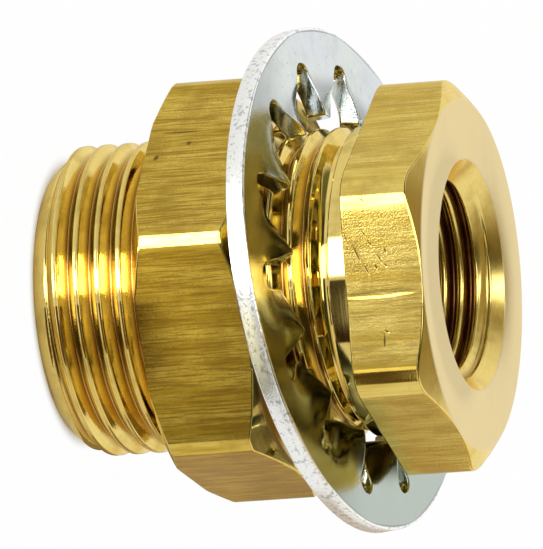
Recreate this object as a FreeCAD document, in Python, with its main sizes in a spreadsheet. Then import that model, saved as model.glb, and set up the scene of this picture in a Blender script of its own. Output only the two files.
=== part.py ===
"""Tank connector: a bored hexagon-headed body with a threaded shank, its lock nut and toothed lock washer.

The fitting stands on the end of its shank. The origin is the centre of that end, +Z runs along the shank
towards the head, and one flat of the head faces -Y. All lengths are in millimetres, all angles in degrees.
"""
import FreeCAD, Part
import os
import Sketcher

# Driving dimensions: alias, value, meaning
SIZES = [
    ("body_length", 33.9, "shank end to head face"),
    ("head_length", 6.5, "hexagon of the head, along the axis"),
    ("head_across_flats", 28.5, "width of the head"),
    ("head_corner_radius", 2.2, "rounding of the head's long edges"),
    ("head_face_diameter", 28.3, "circle where the head's end face meets its chamfer"),
    ("hexagon_chamfer", 30.0, "angle of the chamfer on both hexagons"),
    ("thread_diameter", 25.4, "outside of the shank, crest of its thread"),
    ("thread_pitch", 1.814, "rise of the shank's right-handed thread in one turn"),
    ("thread_depth", 0.96, "crest to root of the shank's thread"),
    ("thread_crest_width", 0.6, "flat on the crests of the shank's thread"),
    ("thread_phase", 0.133, "height at which the lowest thread root starts, on the +X side"),
    ("collar_length", 1.9, "plain stretch of the shank under the head"),
    ("relief_length", 0.8, "groove between the thread and the collar"),
    ("relief_depth", 1.05, "depth of that groove, a little more than the thread's"),
    ("shank_chamfer", 1.8, "45 degree chamfer on the shank's end"),
    ("port_diameter", 15.2, "crests of the female pipe thread at either end"),
    ("port_depth", 15.0, "depth of either threaded port, its mouth included"),
    ("port_mouth_depth", 1.85, "45 degree countersink at either port"),
    ("waterway_diameter", 14.4, "drilled hole between the two ports"),
    ("nut_across_flats", 31.2, "width of the nut"),
    ("nut_thickness", 9.1, "length of the nut along the axis"),
    ("nut_corner_radius", 1.0, "rounding of the nut's long edges"),
    ("nut_front_diameter", 30.9, "circle of the nut's face towards the washer"),
    ("nut_back_diameter", 32.2, "circle of the nut's face towards the shank's end"),
    ("nut_mouth_depth", 0.9, "45 degree countersink at either end of the nut"),
    ("nut_thread_clearance", 0.08, "play around the shank, on the radius"),
    ("nut_turn", 14.0, "turn of the nut's flats against the head's"),
    ("washer_diameter", 41.5, "outside of the lock washer"),
    ("washer_thickness", 1.62, "sheet of the lock washer"),
    ("tooth_count", 14, "teeth around the washer's hole"),
    ("tooth_root_diameter", 36.2, "circle through the outer ends of the slots"),
    ("tooth_tip_clearance", 0.65, "play between tooth tips and shank, on the radius"),
    ("slot_width", 2.05, "gap between two teeth"),
    ("tooth_twist", 25.0, "turn of a tooth's tip out of the sheet"),
    ("tooth_phase", 4.4, "angle from the washer's low side to a tooth"),
    ("washer_lean", 8.9, "lean of the washer against the shank"),
    ("washer_low_side", -136.7, "direction of the washer's low side, from +X"),
    ("washer_shift", -0.3, "place of the washer's centre along X, off the shank's axis"),
    ("washer_head_gap", 0.725, "highest tooth to the head's shoulder"),
    ("washer_nut_gap", 0.125, "lowest tooth to the nut's face"),
]

UPRIGHT = FreeCAD.Vector(0, 0, 1)
# Share of the rim's width that a tooth reaches into the rim, to be one piece with it
TOOTH_ROOTING = 0.25
# Share of the thread's depth that its cutter stands clear of the shank
CUTTER_CLEARANCE = 0.2

doc = FreeCAD.newDocument("tank_connector")
sheet = doc.addObject("Spreadsheet::Sheet", "sizes")
for row, (alias, value, meaning) in enumerate(SIZES, start=1):
    sheet.set(f"A{row}", meaning)
    sheet.set(f"B{row}", str(value))
    sheet.setAlias(f"B{row}", alias)
doc.recompute()

# Expressions that several features share
SHOULDER = "(sizes.body_length - sizes.head_length)"
SHANK_RADIUS = "sizes.thread_diameter / 2"
THREAD_ROOT_RADIUS = "(sizes.thread_diameter / 2 - sizes.thread_depth)"
COLLAR_BOTTOM = f"({SHOULDER} - sizes.collar_length)"
RELIEF_BOTTOM = f"({COLLAR_BOTTOM} - sizes.relief_length)"
RELIEF_RADIUS = "(sizes.thread_diameter / 2 - sizes.relief_depth)"
PORT_RADIUS = "sizes.port_diameter / 2"
PORT_MOUTH_RADIUS = "(sizes.port_diameter / 2 + sizes.port_mouth_depth)"
NUT_BORE_RADIUS = "(sizes.thread_diameter / 2 + sizes.nut_thread_clearance)"
TOOTH_ROOT_RADIUS = "sizes.tooth_root_diameter / 2"
TOOTH_TIP_RADIUS = "(sizes.thread_diameter / 2 + sizes.tooth_tip_clearance)"
TOOTH_ROOT_WIDTH = "(pi * sizes.tooth_root_diameter / sizes.tooth_count - sizes.slot_width)"
TOOTH_TIP_WIDTH = f"(2 * pi * {TOOTH_TIP_RADIUS} / sizes.tooth_count - sizes.slot_width)"
# A twisted tip reaches this far from the middle of the washer's sheet, square to it
TOOTH_REACH = (
    f"({TOOTH_TIP_WIDTH} / 2 * sin(sizes.tooth_twist)"
    " + sizes.washer_thickness / 2 * cos(sizes.tooth_twist))"
)
# Half the height that the leaning washer takes up along the shank, at its tooth tips
WASHER_RISE = f"({TOOTH_TIP_RADIUS} * sin(sizes.washer_lean) + {TOOTH_REACH} * cos(sizes.washer_lean))"
WASHER_HEIGHT = f"({SHOULDER} - sizes.washer_head_gap - {WASHER_RISE})"
NUT_HEIGHT = f"({WASHER_HEIGHT} - {WASHER_RISE} - sizes.washer_nut_gap - sizes.nut_thickness)"


def new_body(label):
    body = doc.addObject("PartDesign::Body", label)
    body.Label = label
    return body


def origin_feature(body, role):
    return next(feature for feature in body.Origin.OriginFeatures if feature.Role == role)


def new_sketch(body, name, plane):
    sketch = body.newObject("Sketcher::SketchObject", name)
    sketch.AttachmentSupport = [(origin_feature(body, plane), "")]
    sketch.MapMode = "FlatFace"
    return sketch


def measure(owner, expression):
    """The value of an expression on the sheet, as a plain number."""
    return float(owner.evalExpression(expression))


def drive(sketch, kind, *references, by):
    """Add a dimension to a sketch and bind it to an expression."""
    index = sketch.addConstraint(Sketcher.Constraint(kind, *references, measure(sketch, by)))
    sketch.setExpression(f"Constraints[{index}]", by)


def turned_profile(body, name, corners):
    """Closed outline in the XZ plane. Its corners are (radius, height) expressions, None on an axis."""
    sketch = new_sketch(body, name, "XZ_Plane")
    points = [
        FreeCAD.Vector(measure(sketch, radius or "0"), measure(sketch, height or "0"), 0)
        for radius, height in corners
    ]
    for start, end in zip(points, points[1:] + points[:1]):
        sketch.addGeometry(Part.LineSegment(start, end))
    for index, (radius, height) in enumerate(corners):
        following = (index + 1) % len(corners)
        sketch.addConstraint(Sketcher.Constraint("Coincident", index, 2, following, 1))
        for kind, value, axis in (("DistanceX", radius, -2), ("DistanceY", height, -1)):
            if value is None:
                sketch.addConstraint(Sketcher.Constraint("PointOnObject", index, 1, axis))
            else:
                drive(sketch, kind, -1, 1, index, 1, by=value)
    return sketch


def turn_away(body, name, corners):
    """Cut a turned profile out of the body, all the way round the Z axis."""
    groove = body.newObject("PartDesign::Groove", name)
    groove.Profile = turned_profile(body, f"{name}_profile", corners)
    groove.ReferenceAxis = (origin_feature(body, "Z_Axis"), [""])
    groove.Angle = 360
    return groove


def runs_upright(edge):
    """Whether an edge runs along the Z axis rather than across it."""
    direction = edge.tangentAt(edge.FirstParameter)
    return abs(direction.z) > abs(direction.x) + abs(direction.y)


def hexagon_bar(body, name, across_flats, length, corner_radius):
    """Hexagon bar from the XY plane upwards, two flats square to Y, its long edges rounded."""
    sketch = new_sketch(body, f"{name}_hexagon", "XY_Plane")
    corner_distance = f"{across_flats} / cos(30) / 2"
    distance = measure(sketch, corner_distance)
    turn = FreeCAD.Rotation(UPRIGHT, 60)
    corner = FreeCAD.Vector(distance, 0, 0)
    for _ in range(6):
        sketch.addGeometry(Part.LineSegment(corner, turn.multVec(corner)))
        corner = turn.multVec(corner)
    circle = sketch.addGeometry(Part.Circle(FreeCAD.Vector(), UPRIGHT, distance), True)
    sketch.addConstraint(Sketcher.Constraint("Coincident", circle, 3, -1, 1))
    for side in range(6):
        sketch.addConstraint(Sketcher.Constraint("Coincident", side, 2, (side + 1) % 6, 1))
        sketch.addConstraint(Sketcher.Constraint("PointOnObject", side, 1, circle))
    for side in range(1, 6):
        sketch.addConstraint(Sketcher.Constraint("Equal", 0, side))
    sketch.addConstraint(Sketcher.Constraint("PointOnObject", 0, 1, -1))
    drive(sketch, "Radius", circle, by=corner_distance)

    bar = body.newObject("PartDesign::Pad", name)
    bar.Profile = sketch
    bar.setExpression("Length", length)
    doc.recompute()
    long_edges = [
        f"Edge{number}"
        for number, edge in enumerate(bar.Shape.Edges, start=1)
        if runs_upright(edge)
    ]
    rounding = body.newObject("PartDesign::Fillet", f"{name}_rounding")
    rounding.Base = (bar, long_edges)
    rounding.setExpression("Radius", corner_radius)
    return rounding


def cut_thread(body):
    """Cut the shank's thread: a V-shaped groove that winds from the shank's end up to the collar."""
    clear_radius = f"({SHANK_RADIUS} + {CUTTER_CLEARANCE} * sizes.thread_depth)"
    half_width = f"((1 + {CUTTER_CLEARANCE}) * (sizes.thread_pitch - sizes.thread_crest_width) / 2)"
    thread = body.newObject("PartDesign::SubtractiveHelix", "thread")
    thread.Profile = turned_profile(body, "thread_profile", [
        (THREAD_ROOT_RADIUS, "sizes.thread_phase"),
        (clear_radius, f"sizes.thread_phase - {half_width}"),
        (clear_radius, f"sizes.thread_phase + {half_width}"),
    ])
    thread.ReferenceAxis = (origin_feature(body, "Z_Axis"), [""])
    thread.Mode = "pitch-height-angle"
    thread.setExpression("Pitch", "sizes.thread_pitch")
    thread.setExpression("Height", f"{COLLAR_BOTTOM} - {half_width} - sizes.thread_phase")
    thread.Refine = False
    return thread


def make_coupling_body():
    """Hexagon bar with a threaded shank turned below its head, bored and countersunk from both ends."""
    body = new_body("coupling_body")
    hexagon_bar(body, "bar", "sizes.head_across_flats", "sizes.body_length", "sizes.head_corner_radius")
    outside = "sizes.head_across_flats"
    chamfer_drop = f"({outside} - sizes.head_face_diameter / 2) * tan(sizes.hexagon_chamfer)"
    turn_away(body, "shank_turning", [
        (f"{SHANK_RADIUS} - sizes.shank_chamfer", None),
        (outside, None),
        (outside, SHOULDER),
        (SHANK_RADIUS, SHOULDER),
        (SHANK_RADIUS, COLLAR_BOTTOM),
        (RELIEF_RADIUS, COLLAR_BOTTOM),
        (RELIEF_RADIUS, RELIEF_BOTTOM),
        (SHANK_RADIUS, RELIEF_BOTTOM),
        (SHANK_RADIUS, "sizes.shank_chamfer"),
    ])
    turn_away(body, "head_chamfer", [
        ("sizes.head_face_diameter / 2", "sizes.body_length"),
        (outside, "sizes.body_length"),
        (outside, f"sizes.body_length - {chamfer_drop}"),
    ])
    turn_away(body, "bore", [
        (None, None),
        (PORT_MOUTH_RADIUS, None),
        (PORT_RADIUS, "sizes.port_mouth_depth"),
        (PORT_RADIUS, "sizes.port_depth"),
        ("sizes.waterway_diameter / 2", "sizes.port_depth"),
        ("sizes.waterway_diameter / 2", "sizes.body_length - sizes.port_depth"),
        (PORT_RADIUS, "sizes.body_length - sizes.port_depth"),
        (PORT_RADIUS, "sizes.body_length - sizes.port_mouth_depth"),
        (PORT_MOUTH_RADIUS, "sizes.body_length"),
        (None, "sizes.body_length"),
    ])
    cut_thread(body)
    return body


def make_lock_nut():
    """Hexagon nut, chamfered at both ends, bored to run on the shank."""
    body = new_body("lock_nut")
    hexagon_bar(body, "nut", "sizes.nut_across_flats", "sizes.nut_thickness", "sizes.nut_corner_radius")
    outside = "sizes.nut_across_flats"
    front_drop = f"({outside} - sizes.nut_front_diameter / 2) * tan(sizes.hexagon_chamfer)"
    back_drop = f"({outside} - sizes.nut_back_diameter / 2) * tan(sizes.hexagon_chamfer)"
    mouth_radius = f"{NUT_BORE_RADIUS} + sizes.nut_mouth_depth"
    turn_away(body, "front_chamfer", [
        ("sizes.nut_front_diameter / 2", "sizes.nut_thickness"),
        (outside, "sizes.nut_thickness"),
        (outside, f"sizes.nut_thickness - {front_drop}"),
    ])
    turn_away(body, "back_chamfer", [
        ("sizes.nut_back_diameter / 2", None),
        (outside, None),
        (outside, back_drop),
    ])
    turn_away(body, "thread_bore", [
        (None, None),
        (mouth_radius, None),
        (NUT_BORE_RADIUS, "sizes.nut_mouth_depth"),
        (NUT_BORE_RADIUS, "sizes.nut_thickness - sizes.nut_mouth_depth"),
        (mouth_radius, "sizes.nut_thickness"),
        (None, "sizes.nut_thickness"),
    ])
    body.Placement = FreeCAD.Placement(FreeCAD.Vector(), FreeCAD.Rotation(UPRIGHT, sheet.nut_turn))
    body.setExpression("Placement.Base.z", NUT_HEIGHT)
    body.setExpression("Placement.Rotation.Angle", "sizes.nut_turn")
    return body


def tooth_section(body, name, distance, width, twist):
    """Rectangle across a tooth, this far from the washer's axis and turned about the tooth's own line."""
    sketch = new_sketch(body, name, "YZ_Plane")
    half_width = measure(sketch, width) / 2
    half_thickness = measure(sketch, "sizes.washer_thickness") / 2
    corners = [
        FreeCAD.Vector(across * half_width, along * half_thickness, 0)
        for across, along in ((-1, -1), (1, -1), (1, 1), (-1, 1))
    ]
    for start, end in zip(corners, corners[1:] + corners[:1]):
        sketch.addGeometry(Part.LineSegment(start, end))
    for side in range(4):
        sketch.addConstraint(Sketcher.Constraint("Coincident", side, 2, (side + 1) % 4, 1))
        sketch.addConstraint(Sketcher.Constraint("Vertical" if side % 2 else "Horizontal", side))
    sketch.addConstraint(Sketcher.Constraint("Symmetric", 0, 1, 1, 2, -1, 1))
    drive(sketch, "DistanceX", 0, 1, 0, 2, by=width)
    drive(sketch, "DistanceY", 1, 1, 1, 2, by="sizes.washer_thickness")
    turn = FreeCAD.Rotation(UPRIGHT, measure(sketch, twist))
    sketch.AttachmentOffset = FreeCAD.Placement(FreeCAD.Vector(), turn)
    sketch.setExpression("AttachmentOffset.Base.z", distance)
    sketch.setExpression("AttachmentOffset.Rotation.Angle", twist)
    return sketch


def make_lock_washer():
    """Flat ring whose inner teeth twist out of its sheet towards their tips, leaning on the shank."""
    body = new_body("lock_washer")
    outline = new_sketch(body, "rim_outline", "XY_Plane")
    for diameter in ("sizes.washer_diameter", "sizes.tooth_root_diameter"):
        radius = measure(outline, diameter) / 2
        circle = outline.addGeometry(Part.Circle(FreeCAD.Vector(), UPRIGHT, radius))
        outline.addConstraint(Sketcher.Constraint("Coincident", circle, 3, -1, 1))
        drive(outline, "Diameter", circle, by=diameter)
    rim = body.newObject("PartDesign::Pad", "rim")
    rim.Profile = outline
    rim.SideType = "Symmetric"
    rim.setExpression("Length", "sizes.washer_thickness")

    # A tooth stays level with the sheet from inside the rim to its neck, and twists from there to its tip
    rim_width = "(sizes.washer_diameter - sizes.tooth_root_diameter) / 2"
    root_distance = f"({TOOTH_ROOT_RADIUS} + {TOOTH_ROOTING} * {rim_width})"
    neck_distance = f"({TOOTH_ROOT_RADIUS} - sizes.washer_thickness / 2)"
    root = tooth_section(body, "tooth_root", root_distance, TOOTH_ROOT_WIDTH, "0")
    neck = tooth_section(body, "tooth_neck", neck_distance, TOOTH_ROOT_WIDTH, "0")
    tip = tooth_section(body, "tooth_tip", TOOTH_TIP_RADIUS, TOOTH_TIP_WIDTH, "sizes.tooth_twist")
    tooth = body.newObject("PartDesign::AdditiveLoft", "tooth")
    tooth.Profile = root
    tooth.Sections = [neck, tip]
    tooth.Ruled = True
    doc.recompute()

    teeth = body.newObject("PartDesign::PolarPattern", "teeth")
    teeth.Originals = [tooth]
    teeth.Axis = (origin_feature(body, "Z_Axis"), [""])
    teeth.Angle = 360
    teeth.setExpression("Occurrences", "sizes.tooth_count")
    body.Tip = teeth

    low_side = FreeCAD.Rotation(UPRIGHT, sheet.washer_low_side)
    lean = FreeCAD.Rotation(FreeCAD.Vector(0, 1, 0), sheet.washer_lean)
    phase = FreeCAD.Rotation(UPRIGHT, sheet.tooth_phase)
    body.Placement = FreeCAD.Placement(FreeCAD.Vector(), low_side * lean * phase)
    body.setExpression("Placement.Base.x", "sizes.washer_shift")
    body.setExpression("Placement.Base.z", WASHER_HEIGHT)
    return body


sub_parts = [make_coupling_body(), make_lock_nut(), make_lock_washer()]
doc.recompute()

for item in doc.Objects:
    if "Invalid" in item.State or "Error" in item.State:
        raise RuntimeError(f"{item.Name} failed: {item.State}")
for sub_part in sub_parts:
    if sub_part.Shape.isNull() or not sub_part.Shape.isValid():
        raise RuntimeError(f"{sub_part.Label} has no valid shape")
    if len(sub_part.Shape.Solids) != 1:
        raise RuntimeError(f"{sub_part.Label} is not one solid")

os.makedirs("parts", exist_ok=True)
for sub_part in sub_parts:
    sub_part.Shape.exportStep(f"parts/{sub_part.Label}.step")
    box = sub_part.Shape.optimalBoundingBox(True, False)
    print(f"{sub_part.Label}: {sub_part.Shape.Volume:.1f} mm3, z from {box.ZMin:.2f} to {box.ZMax:.2f}")
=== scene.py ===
"""Looks of a brass tank connector: threaded body, lock nut and toothed lock washer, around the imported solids.

Lengths in this file are millimetres, and MM turns them into the scene's metres. The fitting stands on the end
of its shank: +Z runs along the shank towards the head, and one flat of the head faces -Y.
"""
import math

import bmesh
import bpy
import numpy as np
from mathutils import Matrix, Vector


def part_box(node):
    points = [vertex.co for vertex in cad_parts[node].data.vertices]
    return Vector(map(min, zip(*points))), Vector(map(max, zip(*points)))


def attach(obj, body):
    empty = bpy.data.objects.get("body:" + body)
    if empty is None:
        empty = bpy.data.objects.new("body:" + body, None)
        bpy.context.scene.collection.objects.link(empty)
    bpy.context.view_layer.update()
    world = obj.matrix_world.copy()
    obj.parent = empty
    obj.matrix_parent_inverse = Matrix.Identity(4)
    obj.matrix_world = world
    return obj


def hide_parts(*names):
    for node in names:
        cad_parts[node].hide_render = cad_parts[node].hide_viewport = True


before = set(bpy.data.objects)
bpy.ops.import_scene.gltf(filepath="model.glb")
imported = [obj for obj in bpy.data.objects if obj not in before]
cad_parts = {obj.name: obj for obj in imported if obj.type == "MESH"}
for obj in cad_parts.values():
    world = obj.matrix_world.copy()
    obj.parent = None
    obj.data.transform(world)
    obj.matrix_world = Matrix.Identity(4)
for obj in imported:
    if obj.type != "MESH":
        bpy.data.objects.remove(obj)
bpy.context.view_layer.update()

MM = 0.001
TURN = 2 * math.pi
NEAR_SIDE = -TURN / 4
HALF_FLAT = TURN / 12
MERGE_DISTANCE = 0.002

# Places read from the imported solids
_, body_high = (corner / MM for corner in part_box("coupling_body"))
nut_low, nut_high = (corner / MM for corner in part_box("lock_nut"))
washer_low, washer_high = (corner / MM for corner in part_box("lock_washer"))
BODY_LENGTH = body_high.z
NUT_BOTTOM = nut_low.z
NUT_TOP = nut_high.z
WASHER_CENTRE = (washer_low + washer_high) / 2

# Coupling body
BODY_COLUMNS = 180
HEAD_LENGTH = 6.5
HEAD_ACROSS_FLATS = 28.5
HEAD_CORNER_ROUNDING = 3.6
HEAD_CORNER_WIDTH = math.radians(7.0)
HEAD_FACE_RADIUS = 14.15
HEAD_EDGE_ROUNDING = 0.12
HEAD_CHAMFER_ROUNDING = 0.15
HEXAGON_CHAMFER = math.tan(math.radians(30))
SHOULDER = BODY_LENGTH - HEAD_LENGTH
COLLAR_LENGTH = 1.9
COLLAR_BOTTOM = SHOULDER - COLLAR_LENGTH
COLLAR_FLARE = 0.02
COLLAR_ROUNDING = 0.15
COLLAR_UNDERCUT = 0.15
SHANK_RADIUS = 12.7
SHANK_END_RADIUS = 10.9
SHANK_END_BLEND = 0.12
RELIEF_RADIUS = 11.65
RELIEF_LENGTH = 0.8
RELIEF_BOTTOM = COLLAR_BOTTOM - RELIEF_LENGTH
RELIEF_SLOPE = 1.2
RELIEF_ROUNDING = 0.10
THREAD_RUN_OUT = 0.02
THREAD_END = RELIEF_BOTTOM + THREAD_RUN_OUT
PORT_MOUTH_RADIUS = 9.45
PORT_MOUTH_BLEND = 0.08
PORT_CREST_RADIUS = 7.65
PORT_DEPTH = 14.5
PORT_STEP = 0.4
WATERWAY_RADIUS = 7.2
WATERWAY_ROUNDING = 0.1

# Lock nut
NUT_COLUMNS = 192
NUT_ACROSS_FLATS = 31.2
NUT_TURN = math.radians(14)
NUT_LAND_RADIUS = 17.67
NUT_CORNER_ROUNDING = 0.5
NUT_CORNER_WIDTH = math.radians(2.8)
NUT_EDGE_ROUNDING = 0.12
NUT_FRONT_RADIUS = 15.45
NUT_FRONT_ROUNDING = 0.10
NUT_BACK_RADIUS = 16.1
NUT_BACK_INSET = 0.02
NUT_BACK_ROUNDING = 0.08
NUT_MOUTH_RADIUS = 13.68
NUT_MOUTH_BLEND = 0.08
NUT_THREAD_PLAY = 0.08

# Finish of the nut's front face towards +X and towards -X, and the width over which it changes. Below -1.1 the
# finish dulls the face and paints shade on it, darker towards -X
NUT_FRONT_SHADE_FINISH = (-1.2, -1.55)
NUT_FRONT_BLEND = 8

# Threads: pitch, height of a crest on the near side, and half an outline as (distance from the crest's
# middle, depth below the crest)
SHANK_PITCH = 25.4 / 14
SHANK_CREST_HEIGHT = 2.4
SHANK_OUTLINE = [
    (0.0, 0.03), (0.07, 0.025), (0.13, 0.0), (0.18, 0.01), (0.24, 0.08),
    (0.80, 0.90), (0.86, 0.95), (SHANK_PITCH / 2, 0.96),
]
PORT_PITCH = 25.4 / 18
PORT_CREST_HEIGHT = 32.75
PORT_OUTLINE = [
    (0.0, 0.0), (0.10, 0.02), (0.20, 0.09), (0.30, 0.24), (0.40, 0.46), (0.50, 0.68), (0.60, 0.84),
    (PORT_PITCH / 2, 0.90),
]
PORT_TAPER = 1 / 32

# Lock washer
WASHER_RADIUS = 20.74
WASHER_THICKNESS = 1.62
WASHER_EDGE_ROUNDING = 0.16
WASHER_LEAN = math.radians(8.9)
WASHER_LOW_SIDE = math.radians(-136.7)
WASHER_FACE_ROWS = [0.06, 0.15, 0.3, 0.45, 0.6, 0.75, 0.9, 0.96]
TOOTH_PHASE = math.radians(4.4)
TOOTH_COUNT = 14
TOOTH_SECTOR = TURN / TOOTH_COUNT
TOOTH_NECK_RADIUS = 17.3
TOOTH_TIP_RADIUS = 13.36
TOOTH_CORNER_ROUNDING = 0.35
TOOTH_CORNER_INSET = 0.05
TOOTH_TWIST = math.radians(25)
TOOTH_UNEVENNESS = math.radians(8)
SLOT_END_RADIUS = 18.1
SLOT_WIDTH = 2.05

# Camera, fitted to the outlines in the photograph
IMAGE_WIDTH, IMAGE_HEIGHT = 543, 549
FOCAL_PIXELS = 15162
FACE_CENTRE_PIXEL = (472.4, 274.7)
FACE_DISTANCE = 1228.8
AXIS_TOWARDS_CAMERA = math.radians(17.06)
AXIS_ABOVE_RIGHT = math.radians(4.04)
CAMERA_AZIMUTH = math.radians(-1.0)

# Brass tones: turned, painted shade in thread roots, painted shade on the nut's front, painted shade in
# the ports' grooves, in nicks and on the end face, and the tint at grazing angles
TURNED_TONE = (0.83, 0.64, 0.20, 1)
ROOT_SHADE_TONE = (0.36, 0.19, 0.05, 1)
NUT_FRONT_SHADE_TONE = (0.10, 0.06, 0.02, 1)
GROOVE_SHADE_TONE = (0.22, 0.09, 0.04, 1)
NICK_TONE = (0.16, 0.10, 0.03, 1)
FACED_END_TONE = (0.82, 0.685, 0.42, 1)
EDGE_TINT = (1.0, 0.93, 0.72, 1)

# Drawn flats: bright, deep and stained tone
BODY_TONES = ((0.82, 0.63, 0.17, 1), (0.66, 0.46, 0.08, 1), (0.46, 0.32, 0.07, 1))
NUT_TONES = ((0.74, 0.53, 0.10, 1), (0.52, 0.34, 0.04, 1), (0.34, 0.21, 0.03, 1))
BODY_GRAININESS = 1.0
NUT_GRAININESS = 0.4

# Brass roughness: turned and drawn, and what other places add to it
TURNED_ROUGHNESS = 0.05
DRAWN_ROUGHNESS = 0.19
FACED_END_DULLNESS = 0.25
ROOT_DULLNESS = 0.15
PORT_DULLNESS = 0.14
NUT_FRONT_DULLNESS = 0.35
GRAIN_DULLNESS = 0.05

# Relief of the metals: heights in shares of one distance, that distance, and how strongly it shows
GRAIN_HEIGHT = 0.9
NICK_HEIGHT = -1.6
GRAZE_HEIGHT = -3.5
BUMP_DISTANCE = 0.03
BRASS_BUMP = 0.45
ZINC_BUMP = 0.35

# Zinc tones
ZINC_GREENISH = (0.71, 0.755, 0.70, 1)
ZINC_BLUISH = (0.70, 0.73, 0.76, 1)
ZINC_STAIN = (0.58, 0.63, 0.61, 1)
# Painted shade on the washer towards +X
ZINC_PLUS_X_SHADE = (0.42, 0.48, 0.41, 1)
# Painted shade on the washer's near side
ZINC_NEAR_SHADE = (0.24, 0.27, 0.24, 1)
ZINC_RIM = (0.97, 0.98, 0.97, 1)
ZINC_EDGE_LINE = (0.20, 0.20, 0.19, 1)
ZINC_FLECK = (0.38, 0.40, 0.40, 1)
# Painted shade on the teeth: dark grey, and far darker on the teeth towards +X
UPPER_TOOTH_SHADE = (0.24, 0.26, 0.25, 1)
LOWER_TOOTH_SHADE = (0.06, 0.065, 0.045, 1)
ZINC_ROUGHNESS = (0.07, 0.14)
ZINC_RIM_DULLNESS = 0.12

# Dents, each with its centre, its slant and its half sizes
HEAD_NICKS = [
    ((-2.55, -14.2, 28.55), 0.35, (0.95, 0.6, 0.13)),
    ((-2.65, -14.2, 30.95), 0.2, (0.35, 0.6, 0.12)),
    ((-3.3, -14.2, 29.7), 0.5, (0.30, 0.6, 0.10)),
    ((-1.2, -14.2, 29.3), 0.4, (0.45, 0.6, 0.10)),
    ((-4.2, -14.2, 29.2), 0.5, (0.50, 0.6, 0.08)),
    ((-2.1, -14.2, 30.4), 0.4, (0.60, 0.6, 0.09)),
    ((-1.4, -14.2, 30.1), 0.2, (0.30, 0.6, 0.13)),
    ((-1.5, -14.2, 30.9), 0.6, (0.22, 0.6, 0.10)),
    ((-3.9, -14.2, 27.7), 0.3, (0.90, 0.6, 0.06)),
    ((4.6, -14.2, 30.35), -0.1, (0.80, 0.6, 0.10)),
    ((3.8, -14.2, 30.6), 1.2, (0.32, 0.6, 0.10)),
    ((-6.9, -13.9, 29.3), 0.9, (0.35, 0.8, 0.10)),
]
HEAD_GRAZES = [((0.75, -14.2, 30.2), 0.02, (0.36, 0.6, 3.7))]
NUT_NICKS = [
    ((-0.5, -15.5, 10.98), 0.9, (0.12, 0.8, 0.45)),
    ((-12.4, -9.6, 13.75), 0.3, (0.22, 0.8, 0.30)),
    ((-11.4, -10.7, 11.2), 0.8, (0.25, 0.8, 0.35)),
    ((-13.3, -8.7, 13.0), 0.0, (0.10, 0.8, 2.2)),
]

# Floor
FLOOR_REACH = 2500
FLOOR_COLOR = (0.88, 0.88, 0.87, 1)
FLOOR_SHADOW_EDGE = (10.4, 12.2)
FLOOR_GLOW_SHARE = 0.98
FLOOR_MIRROR_RANGE = (20, 80)
FLOOR_MIRROR_LEVELS = (0.42, 0.63)

# Studio walls, with angles from the near side towards +X in degrees
WHITE = (1.0, 1.0, 1.0, 1)
CEILING_COLOR = (0.36, 0.29, 0.15, 1)
CEILING_SHADE_COLOR = (0.12, 0.09, 0.03, 1)
WARM_SIDE_COLOR = (0.70, 0.53, 0.26, 1)
DIM_SIDE_COLOR = (0.16, 0.17, 0.10, 1)
DARK_FRONT_COLOR = (0.045, 0.05, 0.03, 1)
WINDOW_ANGLES = (-33, -7)
WINDOW_WIDE_ANGLE = 12
WINDOW_TOP = 0.70
WINDOW_STRENGTH = 4.0
SKYLIGHT_ANGLES = (-51, -11)

# Cards on the floor: name, near and far distance, two angles, colour and the strength at either angle
PALE_CARD = (1.0, 0.99, 0.96, 1)
CARD_HEIGHT = 0.4
STUDIO_CARDS = [
    ("near_bright_card", 20, 36, (-18, -8), PALE_CARD, (16, 16)),
    ("middle_bright_card", 36, 103, WINDOW_ANGLES, PALE_CARD, (10, 10)),
    ("far_bright_card", 103, 150, (-33, -11), PALE_CARD, (5, 5)),
    ("near_dark_card", 13.4, 40, (0, 28), (0.62, 0.32, 0.18, 1), (0.18, 0.18)),
    ("far_dark_card", 151, 2400, (0, 30), (0.62, 0.30, 0.20, 1), (0.15, 0.15)),
    ("middle_card", 40, 82, (8, 44), (1.0, 0.93, 0.62, 1), (1.15, 0.05)),
    ("collar_dark_card", 82, 103, (-4, 40), (0.30, 0.15, 0.08, 1), (0.10, 0.10)),
    ("front_card", 103, 150, (-9, 9), (0.97, 0.98, 1.0, 1), (0.0, 1.95)),
    ("beside_front_card", 103, 150, (9, 20), (1.0, 0.95, 0.80, 1), (0.68, 0.68)),
    ("edge_card", 103, 130, (20, 27), (1.0, 0.97, 0.85, 1), (1.6, 1.6)),
    ("corner_dark_card", 103, 130, (28, 58), (0.30, 0.20, 0.08, 1), (0.30, 0.30)),
    ("near_back_card", 13.4, 35, (75, 165), (0.80, 0.62, 0.36, 1), (0.40, 0.40)),
    ("back_card", 35, 140, (100, 160), (0.84, 0.70, 0.55, 1), (0.66, 0.66)),
]


def column_angles(count, corner_angle):
    """Angles round the axis. Their steps shrink by the cosine of six times the angle, so they crowd at the
    corners of a hexagon and spread on its flats."""
    crowding = 0.72
    even = np.arange(count) / count * TURN
    return corner_angle + even - crowding / 6 * np.sin(6 * even)


def angle_to_flat(angles, flat_angle):
    """Angle from each column to the middle of the nearest of a hexagon's flats."""
    return np.abs((angles - flat_angle + HALF_FLAT) % (2 * HALF_FLAT) - HALF_FLAT)


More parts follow.
